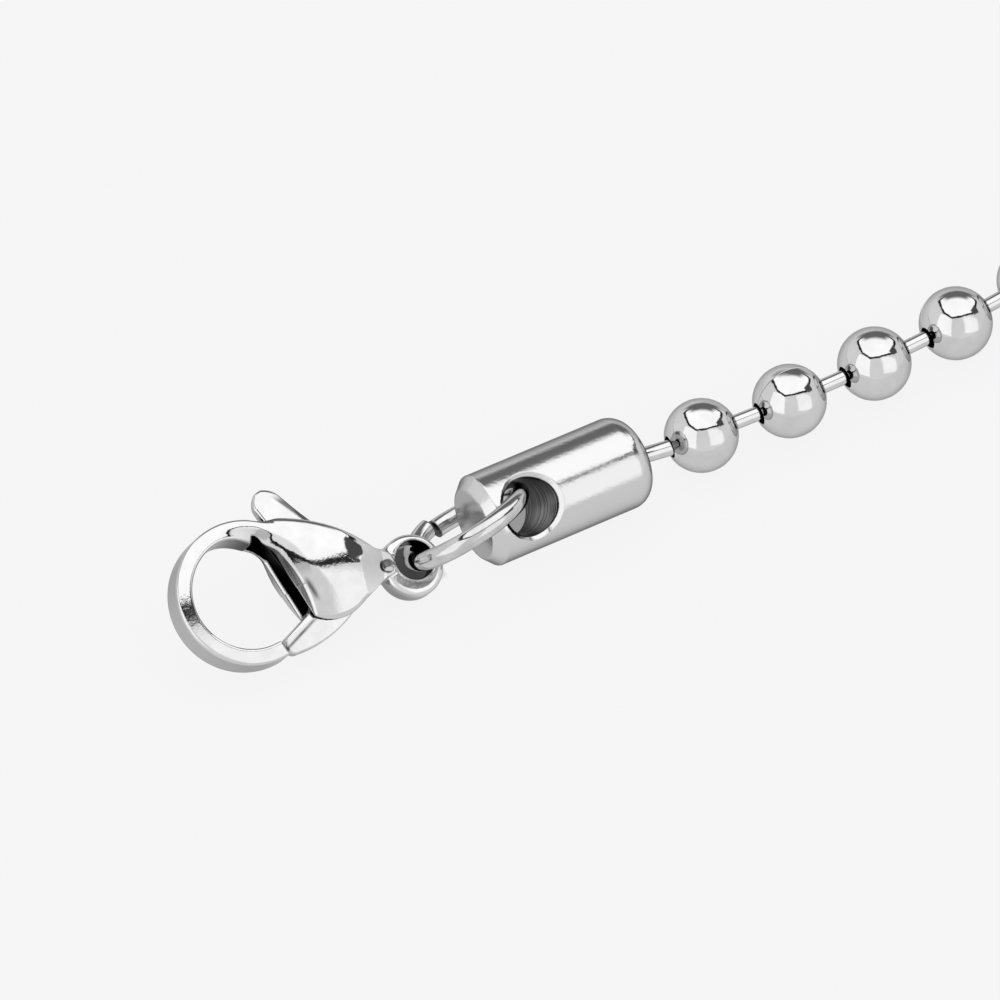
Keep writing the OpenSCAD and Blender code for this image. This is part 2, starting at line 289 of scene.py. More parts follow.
def skin(field, low, high, cell):
    """Quads over the zero surface of a field, their points moved on to the surface, and its normals."""
    axes = [np.arange(a, b + cell, cell) for a, b in zip(low, high)]
    x, y, z = np.meshgrid(*axes, indexing="ij", sparse=True)
    value = np.broadcast_to(field(x, y, z), [len(a) for a in axes])
    inside = value < 0
    cells = tuple(n - 1 for n in value.shape)
    total = np.zeros(cells + (3,))
    count = np.zeros(cells)
    edges = []
    for k in range(3):
        near = [slice(None)] * 3
        far = [slice(None)] * 3
        near[k], far[k] = slice(None, -1), slice(1, None)
        v0, v1 = value[tuple(near)], value[tuple(far)]
        at = np.argwhere(inside[tuple(near)] != inside[tuple(far)])
        a, b = v0[tuple(at.T)], v1[tuple(at.T)]
        spot = at.astype(float)
        spot[:, k] += a / (a - b)
        for da, db in ((0, 0), (0, 1), (1, 0), (1, 1)):
            owner = at - np.insert((da, db), k, 0)
            good = ((owner >= 0) & (owner < cells)).all(1)
            index = tuple(owner[good].T)
            np.add.at(total, index, spot[good])
            np.add.at(count, index, 1)
        edges.append((k, at, a < 0))
    active = count > 0
    number = np.full(cells, -1)
    number[active] = np.arange(active.sum())
    points = total[active] / count[active][:, None]
    points = np.array(low) + points * cell
    quads = []
    for k, at, falls in edges:
        ring = []
        for da, db in ((0, 0), (1, 0), (1, 1), (0, 1)):
            owner = at - np.insert((da, db), k, 0)
            ring.append(number[tuple(np.clip(owner, 0, np.array(cells) - 1).T)])
        ring = np.array(ring).T
        flip = falls if k != 1 else ~falls
        ring[~flip] = ring[~flip][:, ::-1]
        quads.append(ring)
    quads = np.concatenate(quads)
    start = points.copy()
    farthest = 0.9 * cell
    for _ in range(SKIN_STEPS):
        slope = gradient(field, points)
        size = np.maximum((slope ** 2).sum(1), LEAST_SLOPE)
        points = points - (field(*points.T) / size)[:, None] * slope
        drift = points - start
        far_off = np.maximum(np.linalg.norm(drift, axis=1) / farthest, 1)
        points = start + drift / far_off[:, None]
    normals = gradient(field, points)
    normals /= np.linalg.norm(normals, axis=1)[:, None] + 1e-12
    return points, quads, normals


def add_object(name, data):
    """Makes an object and links it to the scene."""
    made = bpy.data.objects.new(name, data)
    bpy.context.collection.objects.link(made)
    return made


def close_up(mesh):
    """Merges doubles, drops faces without area and turns the rest outwards."""
    fix = bmesh.new()
    fix.from_mesh(mesh)
    bmesh.ops.remove_doubles(fix, verts=fix.verts, dist=WELD)
    bmesh.ops.dissolve_degenerate(fix, dist=WELD, edges=fix.edges)
    bmesh.ops.recalc_face_normals(fix, faces=fix.faces)
    fix.to_mesh(mesh)
    fix.free()


def mesh_piece(name, place, points, faces, attributes=None, normals=None):
    """A mesh object at the origin from points in millimetres in the piece's own frame."""
    matrix = np.array(place)
    world = (points @ matrix[:3, :3].T + matrix[:3, 3]) * MM
    faces = np.asarray(faces)
    if np.linalg.det(matrix[:3, :3]) < 0:
        faces = faces[:, ::-1]
    mesh = bpy.data.meshes.new(name)
    mesh.from_pydata(world.tolist(), [], faces.tolist())
    for key, values in (attributes or {}).items():
        layer = mesh.attributes.new(key, "FLOAT", "POINT")
        layer.data.foreach_set("value", np.asarray(values, np.float32))
    mesh.polygons.foreach_set("use_smooth", [True] * len(mesh.polygons))
    mesh.update()
    if normals is not None:
        mesh.normals_split_custom_set_from_vertices((normals @ matrix[:3, :3].T).tolist())
    return add_object(name, mesh)


def dress(piece, material, body, node):
    """Gives a finished piece its material and body, and hides the CAD node that it stands for."""
    piece.data.materials.clear()
    piece.data.materials.append(material)
    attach(piece, body)
    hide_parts(node)


# Clasp

# Outlines in the clasp's own frame, mm: the origin is in the eye, the hook is towards +X, the gate
# on the +Y side and the front face towards +Z. Columns: along, across, bow of the next side.
BODY_EDGE = [
    (6.15, -2.74, 0), (5.56, -2.78, -0.28), (1.62, -0.76, 0.03), (0.95, -0.62, 0),
    (0.95, 0.35, 0), (1.35, 0.48, 0), (2.6, 1.28, -0.43), (4.85, 1.30, -0.08), (5.12, 1.05, -0.03),
    (5.97, -1.40, 0.1), (6.5, -2.05, 0),
]
LEVER_EDGE = [
    (2.6, 1.15, -0.3), (5.5, 2.66, -0.08), (5.93, 2.5, -0.02), (5.96, 2.2, -0.04),
    (5.86, 1.95, 0), (4.86, 1.27, 0), (4.35, 0.5, 0), (5.3, -1.6, 0), (5.58, -2.55, 0),
    (5.84, -3.2, -0.04), (5.74, -3.69, -0.04), (5.5, -3.92, -0.03), (5.22, -3.96, -0.08),
    (4.62, -3.53, 0.03), (3.6, -2.3, 0), (2.2, 0.6, 0),
]
SLOT_EDGE = [
    (2.03, 3.8, 0), (2.03, -5.2, 0), (5.71, -5.2, 0), (6.4, -1.8, 0), (5.64, 0.6, 0), (5.64, 3.8, 0),
]
# The pivot, the radius of the hub round it and of its bore, from the pivot to the gate's tip, and
# the gap between the gate's tip and the hook's
PIVOT = (2.75, 0.85)
HUB_R = 0.47
PIN_BORE_R = 0.39
GATE_REACH = 3.624
GATE_GAP = 0.1
# The dome's top, the body's thickness at its edge, and how far the edge is from the top
DOME_AT = (3.67, -0.49)
DOME_EDGE = 1.6
DOME_SPAN = 2.61
# The facet's two ends: along, and up from the middle plane
FACET_FROM = (2.45, 1.23)
FACET_TO = (1.36, 0.62)
# Lines, each with a spot on it and the way across it: the body's edge at the hook's opening, inwards;
# where the dome starts to fall towards that edge; where the gate's front bevel starts; and the thumb
# tab's edge on the eye's side, inwards
OPENING_LINE = ((5.12, 1.05), (-0.947, -0.321))
ROLL_LINE = ((4.29, -0.29), (0.79, 0.62))
GATE_LINE = ((4.86, 1.27), (-0.562, 0.827))
TAB_LINE = ((3.6, -2.3), (0.77, 0.638))
# Width of the gate's front bevel
GATE_BEVEL = 0.34
# How far the wall at the opening is set back at the slot, and how much more for each mm above it
OPENING_SET_BACK = 0.26
OPENING_LEAN = 0.55
# The dimple: its ball's middle, diameter and rise over the neck
DIMPLE_AT = (1.22, 0.06)
DIMPLE_D = 0.75
DIMPLE_RISE = 0.225
# The painted dark reflection streak beside the opening: its middle, its way, and its half length and half
# width
REFLECTION_STREAK_AT = (4.62, 0.42)
REFLECTION_STREAK_WAY = (-0.35, 0.937)
REFLECTION_STREAK_HALF = (0.45, 0.09)
# Middles of the eye's outer ring and of its hole
EYE_AT = (0.17, 0.2)
EYE_HOLE_AT = (0.04, 0.0)
# Where the hook runs into the body, in degrees, and how much wider its band is there
HOOK_ROOT = -134
ROOT_SWELL = 0.34
# Thickness lost on each side for each mm outwards
HOOK_LEAN = 0.13
LEVER_LEAN = 0.14
# Lowest and highest corners of the room that each skin is searched in
BODY_ROOM = ((-1.4, -3.1, -1.45), (10.1, 3.1, 1.45))
LEVER_ROOM = ((1.9, -4.2, -0.7), (6.2, 2.9, 0.7))


def dome_radius():
    drop = (settings("clasp").body_thick - DOME_EDGE) / 2
    return (DOME_SPAN ** 2 + drop ** 2) / (2 * drop)


def facet_field(x, y, az):
    """Above zero over the satin facet that leads from the dome down to the neck."""
    dx, dz = FACET_TO[0] - FACET_FROM[0], FACET_TO[1] - FACET_FROM[1]
    span = math.hypot(dx, dz)
    level = az + (y - DOME_AT[1]) ** 2 / (2 * dome_radius())
    return ((x - FACET_FROM[0]) * dz - (level - FACET_FROM[1]) * dx) / span


def hinge(value, soft=0.06):
    """Zero below zero and the value above it, with a soft turn between."""
    return (np.sqrt(value ** 2 + soft ** 2) + value) / 2


def opening_share(x, y):
    """Grows from 0 to 1 towards the body's edge at the hook's opening."""
    return ramp(0.9, 0.4, past(x, y, OPENING_LINE))


def slot_half():
    s = settings("clasp")
    return s.lever_thick / 2 + s.side_gap


def opening_roll(x, y):
    """How far the dome falls away towards the hook's opening, mm."""
    slope = 0.14 + 0.1 * ramp(-0.3, -1.5, y)
    return slope * hinge(past(x, y, ROLL_LINE), 0.14)


def facet_roll(x, y):
    """How far the dome falls away towards the facet, mm."""
    return 0.13 * hinge(FACET_FROM[0] + 0.45 - x, 0.1) * ramp(-0.2, -0.6, y)


def root_share(x, y):
    """Grows from 0 to 1 along the hook towards the body."""
    turn = np.degrees(np.arctan2(y, x - settings("clasp").hook_reach))
    return ramp(-68, -118, turn) * ramp(0.0, -0.5, y)


def cheeks_field(x, y, z):
    """The domed body before its slot is cut, with the facet down to the neck."""
    s = settings("clasp")
    az = np.abs(z)
    dome_r = dome_radius()
    deep = az + dome_r - s.body_thick / 2
    dome = np.sqrt((x - DOME_AT[0]) ** 2 + (y - DOME_AT[1]) ** 2 + deep ** 2) - dome_r
    dome = dome + opening_roll(x, y) + facet_roll(x, y)
    by_opening = opening_share(x, y)
    steep = 0.5 + 0.45 * np.maximum(ramp(-0.5, 0.5, y), by_opening)
    edge_r = 0.18 - 0.09 * by_opening
    lean_back = OPENING_SET_BACK + OPENING_LEAN * (hinge(z - slot_half()) - hinge(-z - slot_half()))
    near_root = lean_back * by_opening * ramp(-2.1, -1.2, y) * ramp(0.9, 0.1, y)
    wall = plan_distance(x, y, BODY_EDGE) * steep + near_root
    wall = np.maximum(wall, lean_back - past(x, y, OPENING_LINE) - 3 * ramp(0.2, -0.6, y))
    cheeks = meet(wall, dome, edge_r)
    return np.maximum(cheeks, np.minimum(facet_field(x, y, az), az - s.neck_thick / 2))


def hook_field(x, y, z):
    """The hook, from its tip at the gate round to its root in the body."""
    s = settings("clasp")
    hook_r = s.hook_d / 2
    reach = apart(x, y, (s.hook_reach, 0.0))
    root = root_share(x, y)
    band = np.maximum(reach - hook_r, hook_r - s.hook_band - ROOT_SWELL * root - reach)
    lean = HOOK_LEAN * (reach - hook_r + s.hook_band * 0.7)
    bevel = (0.25 + 0.35 * ramp(-0.3, 0.3, z)) * root * hinge(hook_r - 0.32 - reach)
    hook = meet(band, np.abs(z) - s.hook_thick / 2 + lean + bevel, 0.13)
    tip = GATE_REACH + GATE_GAP - apart(x, y, PIVOT)
    hook = meet(hook, np.minimum(tip, y), 0.1)
    turn = math.radians(HOOK_ROOT)
    behind = (x - s.hook_reach) * math.sin(turn) - y * math.cos(turn)
    return np.maximum(hook, np.minimum(behind, -y))


def clasp_body_field(x, y, z):
    s = settings("clasp")
    az = np.abs(z)
    body = join(cheeks_field(x, y, z), hook_field(x, y, z), 0.2)
    slot = np.maximum(plan_distance(x, y, SLOT_EDGE), az - slot_half())
    body = meet(body, -slot, 0.05 + 0.06 * opening_share(x, y))
    eye = meet(apart(x, y, EYE_AT) - s.eye_d / 2, az - s.eye_thick / 2, 0.3)
    body = join(body, eye, 0.1)
    body = meet(body, s.eye_hole_d / 2 - apart(x, y, EYE_HOLE_AT), 0.12)
    above = z - s.neck_thick / 2 - DIMPLE_RISE
    dimple = np.sqrt(apart(x, y, DIMPLE_AT) ** 2 + above ** 2) - DIMPLE_D / 2
    return meet(body, -dimple, 0.03)


def lever_field(x, y, z):
    """The gate, the thumb tab, which is thinner and softer, and the hub that joins them."""
    s = settings("clasp")
    az = np.abs(z)
    plan = plan_distance(x, y, LEVER_EDGE)
    gate_side = az - s.lever_thick / 2
    gate_fall = LEVER_LEAN * np.clip(y - 1.2, 0, 3)
    bevel = (gate_side + 0.45 * (GATE_BEVEL - past(x, y, GATE_LINE))) / 1.1
    bevel = np.where(y > 1.0, bevel, -1.0)
    gate = meet(plan, np.maximum(gate_side + gate_fall, bevel), 0.1)
    tab_side = az - s.tab_thick / 2 - 0.06
    tab_fall = LEVER_LEAN * np.clip(-2.2 - y, 0, 3)
    bevel = (tab_side + 0.42 * (0.4 - past(x, y, TAB_LINE))) / 1.08
    tab = meet(plan * 0.6, np.maximum(tab_side + tab_fall, bevel), 0.14)
    share = ramp(-1.6, -2.4, y)
    from_pivot = apart(x, y, PIVOT)
    hub = meet(from_pivot - HUB_R, gate_side, 0.05)
    lever = np.minimum(gate * (1 - share) + tab * share, hub)
    return np.maximum(lever, PIN_BORE_R - from_pivot)


def body_finish(points, normals):
    """Satin and dark shares of the clasp body, and the depth along its bores. The dark share is mostly
    painted shade, in the slot, the eye's hole, the dimple and on walls, with a painted dark reflection
    beside the opening.
    """
    s = settings("clasp")
    x, y, z = points.T
    az = np.abs(z)
    facing = np.abs(normals[:, 2])
    walls = 1 - ramp(0.35, 0.75, facing)
    from_eye = apart(x, y, EYE_AT)
    from_hook = apart(x, y, (s.hook_reach, 0.0))

    # The neck and the facet above it, and painted shade in the dimple, darker towards the thumb tab
    taper = ramp(-0.015, -0.003, facet_field(x, y, az)) * ramp(1.3, 1.42, x)
    neck = ramp(FACET_TO[0] + 0.05, FACET_TO[0] - 0.03, x) * ramp(0.92, 1.0, x)
    neck *= ramp(s.eye_thick / 2 - 0.02, s.eye_thick / 2 + 0.03, az)
    dimple_shade = ramp(0.34, 0.3, apart(x, y, DIMPLE_AT))
    dimple_shade *= ramp(s.neck_thick / 2, s.neck_thick / 2 - 0.04, az)
    dimple_shade *= 0.45 + 0.4 * ramp(DIMPLE_AT[1] + 0.05, DIMPLE_AT[1] - 0.05, y)

    # Painted shade in the slot and on the wall at the hook's opening, and a painted dark reflection streak
    # beside the opening
    slot_shade = ramp(0.06, 0.0, plan_distance(x, y, SLOT_EDGE)) * ramp(0.7, 0.64, az)
    opening = ramp(0.75, 0.65, past(x, y, OPENING_LINE)) * ramp(1.3, 1.0, y)
    slot_shade *= 1 - opening * ramp(0.98, 0.9, facing) * ramp(0.2, 0.4, facing)
    wall = opening * ramp(0.75, 0.55, facing) * ramp(0.66, 0.7, az)
    along = past(x, y, (REFLECTION_STREAK_AT, REFLECTION_STREAK_WAY))
    across = past(x, y, (REFLECTION_STREAK_AT, (REFLECTION_STREAK_WAY[1], -REFLECTION_STREAK_WAY[0])))
    reflection_streak = np.exp(-(along / REFLECTION_STREAK_HALF[0]) ** 4 - (across / REFLECTION_STREAK_HALF[1]) ** 2)
    reflection_streak *= ramp(0.5, 0.7, z)

    # Painted shade in the eye's hole, on the eye's side, and on the hook's inner side and root
    bore = ramp(0.06, 0.0, apart(x, y, EYE_HOLE_AT) - s.eye_hole_d / 2) * walls
    eye_side_shade = ramp(0.8, 0.5, facing) * ramp(-0.3, 1.0, x) * ramp(0.2, 0.6, y)
    eye_side_shade *= ramp(1.36, 1.3, from_eye)
    inner = ramp(0.03, 0.0, from_hook - s.hook_d / 2 + s.hook_band) * walls
    inner *= ramp(8.5, 6.3, x) * ramp(1.0, -1.0, y)
    root = root_share(x, y) * ramp(0.28, 0.4, s.hook_d / 2 - from_hook)
    root *= ramp(0.2, 0.5, z)

    satins = (taper, neck, walls * 0.35, ramp(1.4, 1.2, from_eye) * 0.22)
    # The dark share: painted shade in the slot, hole, dimple, hook and on the walls, the painted
    # reflection streak, and the neck and facet made a little darker
    darks = (
        slot_shade, bore, dimple_shade, inner * 0.95, reflection_streak * 0.85, eye_side_shade * 0.5, neck * 0.3, root * 0.3,
        wall * 0.28, walls * 0.12, taper * 0.1,
    )
    return {"satin": np.maximum.reduce(satins), "dark": np.maximum.reduce(darks), "groove": z}


def lever_finish(points, normals):
    """The lever gets painted shade where it lies between the cheeks and painted dark reflection lines
    along the gate's bevel and the tab's edge, and is satin on its side walls.
    """
    x, y, z = points.T
    # Painted shade where the lever lies between the cheeks
    between_cheeks_shade = ramp(-0.02, -0.12, plan_distance(x, y, BODY_EDGE))
    between_cheeks_shade *= ramp(-1.3, -0.8, y)
    satin = 1 - ramp(0.2, 0.5, np.abs(normals[:, 2]))
    # Painted dark reflections: a line along the gate's bevel and a band on the tab's edge
    bevel_reflection_line = np.exp(-((past(x, y, GATE_LINE) - GATE_BEVEL) / 0.06) ** 2) * ramp(1.4, 1.6, y)
    edge = ramp(0.3, 0.24, past(x, y, TAB_LINE)) * ramp(-3.75, -3.3, y)
    edge *= ramp(-2.2, -2.5, y)
    dark = np.maximum.reduce((between_cheeks_shade, bevel_reflection_line * 0.9, edge * 0.9))
    return {"satin": satin * ramp(1.2, -1.0, y), "dark": dark, "groove": z}


# End caps and rings

# Turn of the cross hole round the cap, in degrees, and the hidden room for the last rod's knob, mm
CROSS_TURN = 43.8
CHAMBER_R = 0.9
CHAMBER_HALF = 0.7
ROD_HOLE_R = 0.44


def cross_hole_ways(y, z):
    """Distances across and along the cross hole."""
    turn = math.radians(CROSS_TURN)
    return y * math.cos(turn) + z * math.sin(turn), z * math.cos(turn) - y * math.sin(turn)


def cap_field(x, y, z):
    s = settings("cap")
    r = s.cap_d / 2
    radial = np.hypot(y, z)
    body = meet(radial - r, x - s.cap_len, s.rounding)
    body = meet(body, -x, 0.02)
    body = meet(body, (radial - r + s.chamfer - x) / math.sqrt(2), 0.04)
    across, _ = cross_hole_ways(y, z)
    hole = np.hypot(x - s.cross_hole_at, across) - s.cross_hole_d / 2
    body = np.maximum(body, (radial - r - hole + s.countersink) / math.sqrt(2))
    body = meet(body, -hole, 0.04)
    back = s.cap_len - s.end_wall
    chamber = np.maximum(radial - CHAMBER_R, np.abs(x - back + CHAMBER_HALF) - CHAMBER_HALF)
    rod_hole = np.maximum(radial - ROD_HOLE_R, back - CHAMBER_HALF - x)
    return np.maximum(body, -np.minimum(chamber, rod_hole))


def cap_finish(points, normals):
    """The cap gets painted shade in its bores; the groove depth runs along the cross hole."""
    s = settings("cap")
    x, y, z = points.T
    across, depth = cross_hole_ways(y, z)
    wide = np.hypot(x - s.cross_hole_at, across)
    # Painted shade in the cross hole and in the bore for the rod
    cross_bore_shade = ramp(0.05, 0.0, wide - s.cross_hole_d / 2)
    inside = ramp(1.0, 0.9, np.hypot(y, z)) * ramp(3.2, 3.4, x)
    inside *= ramp(s.cap_len - 0.05, s.cap_len - 0.2, x)
    dark = np.maximum(cross_bore_shade, inside) * 0.8
    return {"dark": dark, "groove": depth, "satin": np.ones(len(x))}


# The split's place round the ring, in degrees, and the rounding of the cut ends, mm
SPLIT_AT = 120.0
END_ROUNDING = 0.04


def grid_faces(rows, around):
    """Quads between neighbouring rows of points that go round, the last row joined to the first."""
    faces = []
    for k in range(rows):
        m = (k + 1) % rows
        for j in range(around):
            n = (j + 1) % around
            faces.append((k * around + j, k * around + n, m * around + n, m * around + j))
    return faces


def ring_shape(rounds=160, sides=20):
    """Points and faces of a split wire ring whose cut ends stand a little out of its plane."""
    s = settings("ring")
    ring_r, wire_r = (s.ring_d - s.wire_d) / 2, s.wire_d / 2
    half_split = s.split / ring_r / 2
    start = math.radians(SPLIT_AT)
    end = start + 2 * math.pi
    angles = np.linspace(start + half_split, end - half_split, rounds)
    out = s.spring * ramp(start + 1.1, start, angles)
    out += s.set_back * ramp(end - 1.0, end, angles)
    inset = angles.copy()
    inset[0] += END_ROUNDING / ring_r
    inset[-1] -= END_ROUNDING / ring_r
    rows = [(angles[0], out[0], 0.0), (angles[0], out[0], 0.8)]
    rows += [(a, o, 1.0) for a, o in zip(inset, out)]
    rows += [(angles[-1], out[-1], 0.8), (angles[-1], out[-1], 0.0)]
    points = []
    for a, o, size in rows:
        for j in range(sides):
            b = 2 * math.pi * j / sides
            radius = ring_r + wire_r * size * math.cos(b)
            points.append((radius * math.cos(a), radius * math.sin(a), wire_r * size * math.sin(b) + o))
    points = np.array(points)
    # Without the faces from the last row back to the first, and turned the other way round
    faces = np.array(grid_faces(len(rows), sides))[:-sides, [0, 3, 2, 1]]
    turn = np.arctan2(points[:, 1], points[:, 0])
    from_split = np.abs(turn - start) * ring_r - s.split / 2
    cut = ramp(0.03, 0.0, from_split - END_ROUNDING)
    return points, faces, {"satin": cut, "dark": cut * 0.9, "groove": points[:, 2]}


# Balls and rods

# The seam on a ball: its half width in radians, its depth in mm, and in degrees the turn of the
# first ball's seam and from one ball to the next
SEAM_HALF = 0.018
SEAM_DEPTH = 0.04
SEAM_FIRST = -173.0
SEAM_STEP = -202.0
# Rows of points over a ball's outer skin, and how a mouth is rolled in, across and along, mm
OUTER_ROWS = 17
MOUTH_ROLL = (0.03, 0.04)
# Sides of a rod, and the angle in degrees past which an edge stays sharp
ROD_SIDES = 12
SHARP_ANGLE = 35.0


def lathe_mesh(name, profile, sides, seam=0.0, inner_from=None):
    """A closed mesh turned about X from a closed profile of (along, radius) pairs.

    A seam is a groove of the given depth along the top, with a narrow column of faces on each side.
    Rows of the profile from inner_from on are marked as dark, as painted shade inside the ball, and so is
    the bottom of the seam.
    """
    turns = [2 * math.pi * j / sides for j in range(sides)]
    depths = [0.0] * sides
    if seam:
        turns = [-SEAM_HALF, 0.0, SEAM_HALF] + turns[1:]
        depths = [0.0, seam, 0.0] + depths[1:]
    points = []
    for along, radius in profile:
        size = math.hypot(along, radius)
        for b, depth in zip(turns, depths):
            part = (1 - depth / size if size else 1) * MM
            points.append((along * part, radius * part * math.sin(b), radius * part * math.cos(b)))
    count, around = len(profile), len(turns)
    mesh = bpy.data.meshes.new(name)
    mesh.from_pydata(points, [], grid_faces(count, around))
    if inner_from is not None:
        # Painted shade on the inner skin, and a dark line along the seam
        dark = np.zeros((count, around), np.float32)
        dark[inner_from:] = 1
        if seam:
            dark[:, 1] = 1
        mesh.attributes.new("dark", "FLOAT", "POINT").data.foreach_set("value", dark.ravel())
    close_up(mesh)
    mesh.polygons.foreach_set("use_smooth", [True] * len(mesh.polygons))
    mesh.set_sharp_from_angle(angle=math.radians(SHARP_ANGLE))
    return mesh


def ball_profile():
    """Outer skin from hole to hole, turned in at each mouth, and back along the inner skin."""
    s = settings("chain")
    outer, inner, hole = s.ball_d / 2, s.ball_d / 2 - s.wall, s.hole_d / 2
    mouth = math.asin((hole + MOUTH_ROLL[0]) / outer)
    deep = math.asin(hole / inner)
    skin_angles = np.linspace(mouth, math.pi - mouth, OUTER_ROWS)
    rows = [(outer * math.cos(a), outer * math.sin(a)) for a in skin_angles]
    lip = math.sqrt(outer ** 2 - hole ** 2) - MOUTH_ROLL[1]
    rows += [(-lip, hole)]
    rows += [(inner * math.cos(a), inner * math.sin(a)) for a in np.linspace(math.pi - deep, deep, 4)]
    rows += [(lip, hole)]
    return rows


def rod_profile(reach, diameter):
    """A rod of given length between its knobs' centres."""
    knob, rod = settings("chain").knob_d / 2, diameter / 2
    start = math.asin(rod / knob)
    bulb = [(knob * math.cos(a), knob * math.sin(a)) for a in np.linspace(math.pi, start, 6)]
    rows = [(x, max(r, 0.0)) for x, r in bulb]
    return rows + [(reach - x, r) for x, r in reversed(rows)]


def string_tree(name):
    """Nodes that set copies of one piece at even angles round a circle."""
    tree = bpy.data.node_groups.new(name, "GeometryNodeTree")
    face = tree.interface
    face.new_socket("Geometry", in_out="INPUT", socket_type="NodeSocketGeometry")
    inputs = (("Piece", "NodeSocketObject"), ("Count", "NodeSocketInt"), ("Radius", "NodeSocketFloat"),
              ("First Angle", "NodeSocketFloat"), ("Step Angle", "NodeSocketFloat"),
              ("Centre", "NodeSocketVector"), ("First Roll", "NodeSocketFloat"),
              ("Step Roll", "NodeSocketFloat"), ("Material", "NodeSocketMaterial"))
    for label, kind in inputs:
        face.new_socket(label, in_out="INPUT", socket_type=kind)
    face.new_socket("Geometry", in_out="OUTPUT", socket_type="NodeSocketGeometry")
    nodes, links = tree.nodes, tree.links

    def add(kind, **values):
        node = nodes.new(kind)
        for key, value in values.items():
            setattr(node, key, value)
        return node

    source = add("NodeGroupInput")
    out = add("NodeGroupOutput")
    points = add("GeometryNodePoints")
    index = add("GeometryNodeInputIndex")
    angle = add("ShaderNodeMath", operation="MULTIPLY_ADD")
    cosine = add("ShaderNodeMath", operation="COSINE")
    sine = add("ShaderNodeMath", operation="SINE")
    spot = add("ShaderNodeCombineXYZ")
    scaled = add("ShaderNodeVectorMath", operation="SCALE")
    moved = add("ShaderNodeVectorMath", operation="ADD")
    turn_on = add("ShaderNodeMath", operation="ADD")
    turn_on.inputs[1].default_value = math.pi / 2
    roll = add("ShaderNodeMath", operation="MULTIPLY_ADD")
    turn = add("ShaderNodeCombineXYZ")
    info = add("GeometryNodeObjectInfo")
    copies = add("GeometryNodeInstanceOnPoints")
    real = add("GeometryNodeRealizeInstances")
    paint = add("GeometryNodeSetMaterial")
    # From node and output, to node and input
    wires = (
        (index, 0, angle, 0), (source, "Step Angle", angle, 1), (source, "First Angle", angle, 2),
        (angle, 0, cosine, 0), (angle, 0, sine, 0), (cosine, 0, spot, 0), (sine, 0, spot, 1),
        (spot, 0, scaled, 0), (source, "Radius", scaled, "Scale"),
        (scaled, 0, moved, 0), (source, "Centre", moved, 1),
        (source, "Count", points, "Count"), (moved, 0, points, "Position"),
        (angle, 0, turn_on, 0), (turn_on, 0, turn, 2),
        (index, 0, roll, 0), (source, "Step Roll", roll, 1), (source, "First Roll", roll, 2),
        (roll, 0, turn, 0), (source, "Piece", info, "Object"),
        (points, 0, copies, "Points"), (info, "Geometry", copies, "Instance"),
        (turn, 0, copies, "Rotation"), (copies, 0, real, 0), (real, 0, paint, "Geometry"),
        (source, "Material", paint, "Material"), (paint, 0, out, 0),
    )
    for giver, output, taker, slot in wires:
        links.new(giver.outputs[output], taker.inputs[slot])
    return tree


def string_round(name, piece_mesh, count, first, material, first_roll=0.0, step_roll=0.0):
    """One plain mesh of copies strung round the loop, made with a Geometry Nodes modifier."""
    radius, shift, step, _, _ = loop_places()
    single = add_object(name + "_single", piece_mesh)
    holder = add_object(name + "_holder", bpy.data.meshes.new(name + "_holder"))
    modifier = holder.modifiers.new("String", "NODES")
    tree = string_tree(name + "_nodes")
    modifier.node_group = tree
    values = {
        "Piece": single, "Count": count, "Radius": radius * MM, "First Angle": first,
        "Step Angle": step, "Centre": (0.0, shift * MM, settings("chain").ball_d / 2 * MM),
        "First Roll": math.radians(first_roll), "Step Roll": math.radians(step_roll),
        "Material": material,
    }
    for item in tree.interface.items_tree:
        if item.in_out == "INPUT" and item.name in values:
            modifier[item.identifier] = values[item.name]
    bpy.context.view_layer.update()
    graph = bpy.context.evaluated_depsgraph_get()
    mesh = bpy.data.meshes.new_from_object(holder.evaluated_get(graph))
    mesh.name = name
    holder.modifiers.remove(modifier)
    bpy.data.objects.remove(holder)
    bpy.data.objects.remove(single)
    return add_object(name, mesh)


# Materials

# The steel's noises: features per metre, grooves in the bores per millimetre, and the relief's
# height in metres
POLISH_SCALE = 900.0
WEAR_SCALE = 1500.0
RELIEF_SCALE = 7000.0
RELIEF_HEIGHT = 0.00005
GROOVE_SCALE = 9.0
# The part of a noise's range that is spread over the steel's variation, and the darkest tone of the
# painted shade in bores and hollows
NOISE_PART = (0.3, 0.7)
GROOVE_PART = (0.35, 0.65)
DARKEST = 0.02


def noise(tree, vector, scale, detail=3.0):
    node = tree.nodes.new("ShaderNodeTexNoise")
    node.inputs["Scale"].default_value = scale
    node.inputs["Detail"].default_value = detail
    tree.links.new(vector, node.inputs["Vector"])
    return node.outputs["Fac"]


def layer(tree, name):
    """A layer of the piece's own mesh."""
    node = tree.nodes.new("ShaderNodeAttribute")
    node.attribute_name = name
    return node.outputs["Fac"]


def fill(tree, slot, value):
    """Gives a node's input its value, which is a socket or a constant."""
    if isinstance(value, bpy.types.NodeSocket):
        tree.links.new(value, slot)
    else:
        slot.default_value = value


def maths(tree, operation, *values, kind="ShaderNodeMath"):
    """The number that a maths node makes of sockets or constants."""
    node = tree.nodes.new(kind)
    node.operation = operation
    for slot, value in zip(node.inputs, values):
        fill(tree, slot, value)
    return node.outputs["Value"]


def mixed(tree, share, a, b, kind="FLOAT"):
    """Mixes two values or colours; each is a socket or a constant."""
    node = tree.nodes.new("ShaderNodeMix")
    node.data_type = kind
    tree.links.new(share, node.inputs[0])
    first, result = {"FLOAT": (2, 0), "RGBA": (6, 2)}[kind]
    fill(tree, node.inputs[first], a)
    fill(tree, node.inputs[first + 1], b)
    return node.outputs[result]


